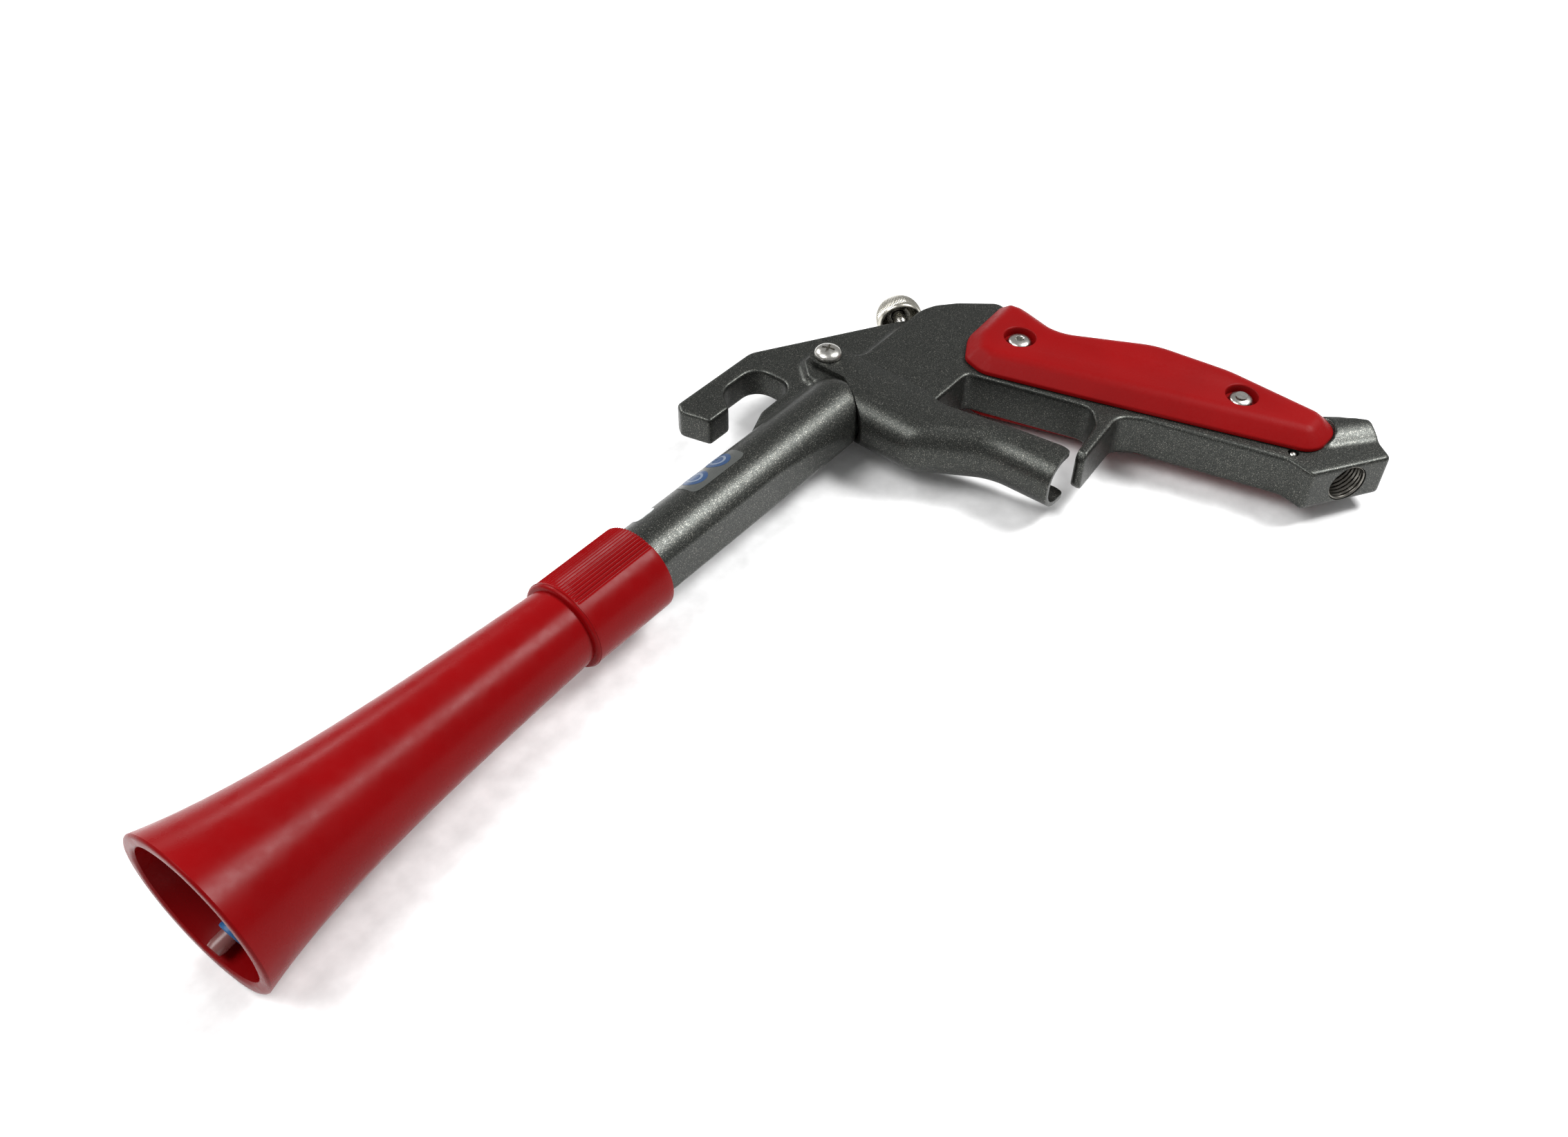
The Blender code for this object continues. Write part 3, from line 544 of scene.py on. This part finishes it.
def whip(tube_material, ring_material):
    route = [tube_route(x) for x in np.linspace(0.4, 111.0, 90)]
    sides = 40
    lip = 0.25
    bm = bmesh.new()

    def loop(i, radius):
        ahead = (route[min(i + 1, len(route) - 1)] - route[max(i - 1, 0)]).normalized()
        side = Vector((0, 1, 0)).cross(ahead).normalized()
        up = ahead.cross(side)
        turns = [math.tau * j / sides for j in range(sides)]
        return [bm.verts.new(route[i] + radius * (math.cos(t) * side + math.sin(t) * up)) for t in turns]

    loops = [loop(0, TUBE_BORE + lip), loop(0, TUBE_R - lip)]
    loops += [loop(i, TUBE_R) for i in range(1, len(route))]
    loops += [loop(i, TUBE_BORE) for i in range(len(route) - 1, 0, -1)]
    for first, second in zip(loops, loops[1:] + loops[:1]):
        for j in range(sides):
            k = (j + 1) % sides
            bm.faces.new((first[j], first[k], second[k], second[j]))
    piece(raw_object("whip_hose", bm), "whip", tube_material, ["whip_tube"], flat=40)
    front, back = tube_route(RING_FROM), tube_route(RING_FROM + RING_LENGTH)
    inner, edge = TUBE_R + 0.25, 0.45
    ring = [(0, inner + 0.2), (0, RING_R - edge), (0.13, RING_R - 0.13), (edge, RING_R),
            (RING_LENGTH - edge, RING_R), (RING_LENGTH - 0.13, RING_R - 0.13),
            (RING_LENGTH, RING_R - edge), (RING_LENGTH, inner + 0.2), (RING_LENGTH - 0.2, inner), (0.2, inner)]
    obj = turned("weight_ring", ring, front, back - front, 96)
    piece(obj, "whip", ring_material, ["whip_ring"], flat=40)


# ---------------------------------------------------------------- the lever

LEVER_SIDE = [
    (235.6, 1.8), (235.6, 18.2, 5.5), (247.0, 18.2, 5.5), (247.0, -21.0, 6.0), (244.4, -29.0, 8.0),
    (249.2, -52.0, 60.0), (251.8, -69.0, 10.0), (251.0, -71.8, 1.4), (236.0, -71.8),
    (221.0, -71.8), (221.0, -13.0), (225.4, -13.0, 2.0),
]
LEVER_FRONT = [(225.5, 30.0), (225.5, -29.5, 9.0), (238.6, -51.0, 22.0), (239.8, -90.0)]


def lever(material):
    curve = []
    for i, corner in enumerate(LEVER_FRONT):
        if len(corner) > 2:
            curve += arc_corner(LEVER_FRONT[i - 1][:2], corner[:2], LEVER_FRONT[i + 1][:2], corner[2],
                                math.radians(2))
        else:
            curve.append(corner)
    heights = np.linspace(24, -76, 101)
    front = np.interp(-heights, [-y for _, y in curve], [x for x, _ in curve])

    def bar(name, inset):
        half, corner = LEVER_HALF - inset, 8.0 - inset
        section = [(60.0, half)]
        for i in range(19):
            turn = math.radians(90 + 5 * i)
            section.append((corner + corner * math.cos(turn), half - corner + corner * math.sin(turn)))
        section += [(x, -z) for x, z in reversed(section)]
        bm = bmesh.new()
        loops = [[bm.verts.new((x0 + inset + x, y, z)) for x, z in section]
                 for x0, y in zip(front, heights)]
        for upper, lower in zip(loops, loops[1:]):
            for i in range(len(section)):
                j = (i + 1) % len(section)
                bm.faces.new((upper[i], upper[j], lower[j], lower[i]))
        bm.faces.new(loops[0])
        bm.faces.new(loops[-1])
        return raw_object(name, bm)

    shell = bar("lever_shell", 0.0)
    combine(shell, [plate("side", outline(LEVER_SIDE), -20, 20)], "INTERSECT")
    combine(shell, [bar("inside", SHEET), rod("eye", (*PIVOT, -20), (*PIVOT, 20), 2.8)], "DIFFERENCE")
    bevel(shell, 0.35, 2, 45)
    return piece(shell, "lever", material, ["lever"], flat=40)


# ---------------------------------------------------------------- grips and screws

GRIP = [
    (269.4, -21.2, 5.0), (279.0, -15.8, 14.0), (303.3, -14.6, 4.5), (304.6, -22.5, 7.0),
    (300.6, -38.0, 12.0), (316.2, -66.0, 30.0), (320.0, -92.0, 40.0), (319.0, -124.5, 7.0), (314.4, -131.4, 8.0),
    (301.0, -130.6, 8.0), (279.0, -66.0, 50.0), (267.0, -29.0, 8.0),
]


def grip_section(side):
    """A grip plate's section: a short wall, a soft slope and a roll up to the flat face."""
    top = GRIP_TOP - BODY_HALF - GAP
    section = [(0, 0), (0, 0.75), (0.06, 0.98), (0.2, 1.2), (0.4, 1.4)]
    run, slope = (3.6, math.radians(40)) if side > 0 else (2.6, math.radians(35))
    radius = run / math.sin(slope)
    for i in range(13):
        turn = slope * (1 - i / 12)
        section.append((7.2 - radius * math.sin(turn), top - radius * (1 - math.cos(turn))))
    return section


def inset(corners, distance):
    """A clockwise outline's corners, moved inward."""
    moved = []
    for i, (x, y, radius) in enumerate(corners):
        here = Vector((x, y))
        come = (here - Vector(corners[i - 1][:2])).normalized()
        leave = (Vector(corners[(i + 1) % len(corners)][:2]) - here).normalized()
        inward = Vector((come.y + leave.y, -come.x - leave.x)) / (1 + come.dot(leave))
        convex = come.cross(leave) < 0
        moved.append((x + inward.x * distance, y + inward.y * distance,
                      max(0.8, radius + (-distance if convex else distance))))
    return moved


def grip(name, side, material):
    bm = bmesh.new()
    rings = []
    for distance, height in grip_section(side):
        z = side * (BODY_HALF + GAP + height)
        edge = outline(inset(GRIP, distance), math.radians(4))
        rings.append([bm.verts.new((x, y, z)) for x, y in edge])
    for lower, upper in zip(rings, rings[1:]):
        for i in range(len(lower)):
            j = (i + 1) % len(lower)
            bm.faces.new((lower[i], lower[j], upper[j], upper[i]))
    bm.faces.new(rings[0])
    bm.faces.new(rings[-1])
    obj = raw_object(f"{name}_shell", bm)
    lip = [(0, 0), (0, 5.2), (SCREW_SEAT - 0.55, 5.2), (SCREW_SEAT - 0.3, 5.28), (SCREW_SEAT - 0.1, 5.5),
           (SCREW_SEAT + 0.02, 5.85), (SCREW_SEAT + 2, 7.0), (SCREW_SEAT + 2, 0)]
    holes, seats = [], []
    for x, y in SCREW_SPOTS:
        holes.append(rod("hole", (x, y, 0), (x, y, side * 30), 2.2))
        floor_spot = (x, y, side * (GRIP_TOP - SCREW_SEAT))
        seats.append(turned("counterbore", lip, floor_spot, (0, 0, side), 96))
    combine(obj, [merged(holes)], "DIFFERENCE")
    combine(obj, [merged(seats)], "DIFFERENCE")
    return piece(obj, "frame", material, [name], flat=40)


def dome(radius, height, crown, count=10):
    """A screw head's profile: a short edge and a rounded top."""
    points = [(0, 0), (0, radius - 0.12), (0.12, radius), (0.35, radius)]
    for i in range(1, count + 1):
        turn = math.pi / 2 * i / count
        points.append((0.35 + (height - 0.35) * math.sin(turn) ** crown, radius * math.cos(turn)))
    return points[:-1] + [(height, 0)]


def hexagon(name, centre, across, low, high):
    turns = [math.tau * i / 6 for i in range(6)]
    points = [(centre[0] + across * math.cos(t), centre[1] + across * math.sin(t)) for t in turns]
    return plate(name, points, *sorted((low, high)))


def button_screw(name, side, spot, material):
    seat = side * (GRIP_TOP - SCREW_SEAT + 0.15)
    head = turned(f"{name}_head", dome(3.85, 2.2, 0.62), (*spot, seat), (0, 0, side), 96)
    shank = rod("shank", (*spot, seat + side * 0.5), (*spot, side * 1.2), 1.85)
    combine(head, [shank], "UNION")
    combine(head, [hexagon("socket", spot, 1.5, seat + side * 0.9, seat + side * 4)], "DIFFERENCE")
    combine(head, [turned("lead", [(0, 0), (0, 1.2), (0.8, 2.0), (0.8, 0)], (*spot, seat + side * 1.75),
                          (0, 0, side), 48)], "DIFFERENCE")
    bevel(head, 0.06, 2, 30)
    piece(head, "frame", material, [name], flat=30)


def pivot_screw(material):
    top = LEVER_HALF + 0.15
    head = turned("pivot_screw_head", dome(4.4, 2.7, 0.8, 16), (*PIVOT, top), (0, 0, 1), 128)
    combine(head, [rod("shank", (*PIVOT, top + 0.5), (*PIVOT, -top - 4), 2.4)], "UNION")
    slots = []
    for turn in (20, 110):
        cross = [(-2.1, -0.42), (2.1, -0.42), (2.1, 0.42), (-2.1, 0.42)]
        blade = plate("slot", cross, top + 1.3, top + 5)
        swing = Matrix.Rotation(math.radians(turn), 4, "Z")
        blade.data.transform(Matrix.Translation((*PIVOT, 0)) @ swing)
        slots.append(blade)
    combine(head, slots, "DIFFERENCE")
    bevel(head, 0.08, 2, 30)
    piece(head, "frame", material, ["pivot_screw"], flat=30)


def pivot_nut(material):
    low = -LEVER_HALF - 0.15 - 3.2
    nut = hexagon("pivot_nut_shell", PIVOT, 4.6, low, low + 3.2)
    crown = turned("crown", [(-0.1, 0), (-0.1, 4.0), (0.9, 4.75), (2.4, 4.75), (3.3, 4.0), (3.3, 0)],
                   (*PIVOT, low), (0, 0, 1), 96)
    combine(nut, [crown], "INTERSECT")
    combine(nut, [rod("thread", (*PIVOT, -30), (*PIVOT, 0), 2.6)], "DIFFERENCE")
    piece(nut, "frame", material, ["pivot_nut"], flat=30)


# ---------------------------------------------------------------- the knob and the inlet

def knurl(height, turn, radius):
    """Fine straight knurl over the ball, clear of its rim and its crown."""
    if radius < 2.5 or height < KNOB_RIM + 1.0 or math.hypot(height, radius) < KNOB_R - 0.1:
        return 0
    fade = min(1, (height - KNOB_RIM - 1.0) / 0.4) * min(1, (radius - 2.5) / 1.5)
    return -0.16 * fade * abs(math.sin(45 * turn))


def knob(material):
    rim = math.asin(KNOB_RIM / KNOB_R)
    arc = []
    for i in range(41):
        turn = rim + 0.03 + (math.radians(88) - rim) * i / 41
        arc.append((KNOB_R * math.sin(turn), KNOB_R * math.cos(turn)))
    hollow = [(1.4, 2.5), (1.4, 3.6), (1.1, 4.1), (-0.4, 5.4), (-2.6, 6.35), (KNOB_RIM, 6.55),
              (KNOB_RIM, 6.9)]
    crown = [(KNOB_R, 0), (4.8, 0), (4.8, 2.5)]
    head = turned("knob_ball", hollow + arc + crown, knob_point(0), knob_axis(), 540, knurl)
    piece(head, "knob", material, ["regulating_knob"], flat=50)


def screw_thread(pitch, depth, low, high):
    """A helical groove between two heights, as a change of radius."""
    def groove(height, turn, radius):
        if not low < height < high:
            return 0
        phase = (height / pitch - turn / math.tau) % 1
        fade = min(1, (height - low) / pitch, (high - height) / pitch)
        return depth * fade * (1 - abs(2 * phase - 1))
    return groove


def needle(material):
    body = [(height, NEEDLE_R) for height in np.arange(4.4, -19.0, -0.1)]
    tip = [(-19.4, 1.5), (-25.2, 1.5), (-27.0, 0.5), (-27.0, 0)]
    profile = [(4.5, 0), (4.5, NEEDLE_R - 0.1)] + body + tip
    obj = turned("regulating_screw", profile, knob_point(0), knob_axis(), 56,
                 screw_thread(NEEDLE_PITCH, -0.22, -14, 1.2))
    piece(obj, "needle", material, ["needle_screw"], flat=60)


def inlet_insert(material):
    mouth, out = inlet_place()
    outer = INLET_R - 0.15
    bore_wall = [(height, INLET_THREAD_R) for height in np.arange(10.9, 0.9, -0.1)]
    profile = [(0.4, INLET_THREAD_R + 0.45), (0.4, outer - 0.1), (0.5, outer), (11.0, outer),
               (11.0, INLET_THREAD_R)] + bore_wall
    obj = turned("threaded_insert", profile, mouth, -out, 96,
                 lambda height, turn, radius: 0 if radius > INLET_THREAD_R else
                 screw_thread(INLET_PITCH, 0.45, 0.5, 11.2)(height, turn, radius))
    piece(obj, "frame", material, ["inlet_insert"], flat=60)


def dowel(material):
    pin = turned("dowel_pin", dome(1.45, 3.0, 0.6), (*DOWEL, BODY_HALF - 3.0), (0, 0, 1), 48)
    piece(pin, "frame", material, ["locating_dowel"], flat=40)


# ---------------------------------------------------------------- the scene

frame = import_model()

COAT = paint()
HORN = red_moulding("horn_red", (0.168, 0.0012, 0.002), 0.28, 500, 0.1)
GRIP_RED = red_moulding("grip_red", (0.165, 0.0016, 0.002), 0.45, 1500, 0.5)
STEEL = bare_metal("stainless", (0.47, 0.46, 0.43), 0.27)
NICKEL = bare_metal("nickel", (0.5, 0.48, 0.42), 0.26)
# The insert's steel is much darker than the other steel: painted shade for the inside of the inlet bore.
SHADED_INSERT_STEEL = bare_metal("insert_steel_painted_shade", (0.2, 0.19, 0.17), 0.34)
BRASS = bare_metal("brass", (0.72, 0.5, 0.2), 0.3)
RUBBER = plain("nitrile", (0.025, 0.025, 0.025), 0.7)
PTFE = plain("ptfe", (0.85, 0.85, 0.82), 0.45)
TUBE = plain("whip_polyamide", (0.2, 0.075, 0.07), 0.3)
BLUE = plain("ring_blue", (0.009, 0.10, 0.27), 0.4)
LABEL = plain("label_film", (0.05, 0.053, 0.05), 0.3)
SIGN_BLUE = plain("label_blue", (0.008, 0.035, 0.10), 0.35)
SIGN_WHITE = plain("label_white", (0.12, 0.15, 0.2), 0.4)
FOIL = bare_metal("label_foil", (0.7, 0.72, 0.72), 0.35)

BY_SLOT = {"casting": COAT, "lever": COAT, "red_horn": HORN, "red_grip": GRIP_RED, "nickel": NICKEL,
           "steel": STEEL, "insert": SHADED_INSERT_STEEL, "brass": BRASS, "rubber": RUBBER, "white_plastic": PTFE,
           "clear_tube": TUBE, "ring_blue": BLUE}
slots = {entry["node"]: entry["material_slot"] for entry in frame["record"]["subparts"]}
for name, node in frame["nodes"].items():
    node.data.materials.clear()
    node.data.materials.append(BY_SLOT[slots[name]])

casting(COAT)
cone(HORN)
whip(TUBE, BLUE)
lever(COAT)
for end, side in (("right", 1), ("left", -1)):
    grip(f"grip_{end}", side, GRIP_RED)
    for number, spot in enumerate(SCREW_SPOTS, 1):
        button_screw(f"grip_screw_{end}_{number}", side, spot, STEEL)
pivot_screw(STEEL)
pivot_nut(STEEL)
knob(NICKEL)
needle(STEEL)
inlet_insert(SHADED_INSERT_STEEL)
dowel(STEEL)
patch("barrel_label", 174.6, math.radians(66), (11.2, 4.6), BARREL_R, 0.05, LABEL, square=8)
disc_turn = math.radians(60)
for spot in (179.5, 169.5):
    patch(f"label_disc_{spot:.0f}", spot, disc_turn, (4.0, 3.9), BARREL_R, 0.1, SIGN_BLUE)
    patch(f"label_ring_{spot:.0f}", spot, disc_turn, (2.6, 2.5), BARREL_R, 0.14, SIGN_WHITE,
          hollow=0.72)
patch("barrel_foil", 149.5, math.radians(50), (3.6, 1.9), BARREL_R, 0.04, FOIL, square=6)


# ---------------------------------------------------------------- floor, light and camera

def floor():
    bm = bmesh.new()
    bmesh.ops.create_grid(bm, x_segments=2, y_segments=2, size=3.0)
    obj = raw_object("floor", bm)
    obj.data.materials.append(plain("floor_white", (0.93, 0.93, 0.93), 0.7, 40, 0.0))


def area_light(name, place, aim, size, power, colour=(1, 1, 1)):
    lamp = bpy.data.lights.new(name, "AREA")
    lamp.shape = "RECTANGLE"
    lamp.size, lamp.size_y = size
    lamp.energy = power
    lamp.color = colour
    obj = bpy.data.objects.new(name, lamp)
    bpy.context.scene.collection.objects.link(obj)
    obj.location = place
    obj.rotation_euler = (Vector(aim) - Vector(place)).to_track_quat("-Z", "Y").to_euler()


def camera():
    lens = bpy.data.cameras.new("camera")
    lens.sensor_fit = "HORIZONTAL"
    lens.sensor_width = 36.0
    lens.lens = 36.0 * 2051.0 / 2268.0
    lens.shift_x = (2268 / 2 - 1317.1) / 2268
    lens.shift_y = (866.6 - 1645 / 2) / 2268
    lens.clip_start = 0.01
    obj = bpy.data.objects.new("camera", lens)
    bpy.context.scene.collection.objects.link(obj)
    right = Vector((0.57414951, -0.81526042, 0.07551681))
    down = Vector((-0.55753623, -0.45685124, -0.69313801))
    ahead = Vector((0.59958793, 0.35586149, -0.71683813))
    turn = Matrix((right, -down, -ahead)).transposed()
    place = Vector((-56.724, -204.335, 279.921)) * MM
    obj.matrix_world = GUN @ Matrix.Translation(place) @ turn.to_4x4()
    bpy.context.scene.camera = obj


def world_light(strength):
    world = bpy.data.worlds.new("studio")
    bpy.context.scene.world = world
    world.use_nodes = True
    world.node_tree.nodes["Background"].inputs["Color"].default_value = (1, 1, 1, 1)
    world.node_tree.nodes["Background"].inputs["Strength"].default_value = strength


floor()
world_light(0.42)
area_light("key", (0.44, -0.25, 0.66), (0.0, 0.0, 0.0), (0.3, 0.3), 8)
area_light("behind", (-0.36, 0.28, 0.72), (-0.02, 0.02, 0), (0.5, 0.5), 5.5)
area_light("hook_side", (0.10, 0.74, 0.46), (0.08, 0.02, 0.02), (0.3, 0.2), 3)
bpy.context.scene.view_settings.view_transform = "Standard"
camera()
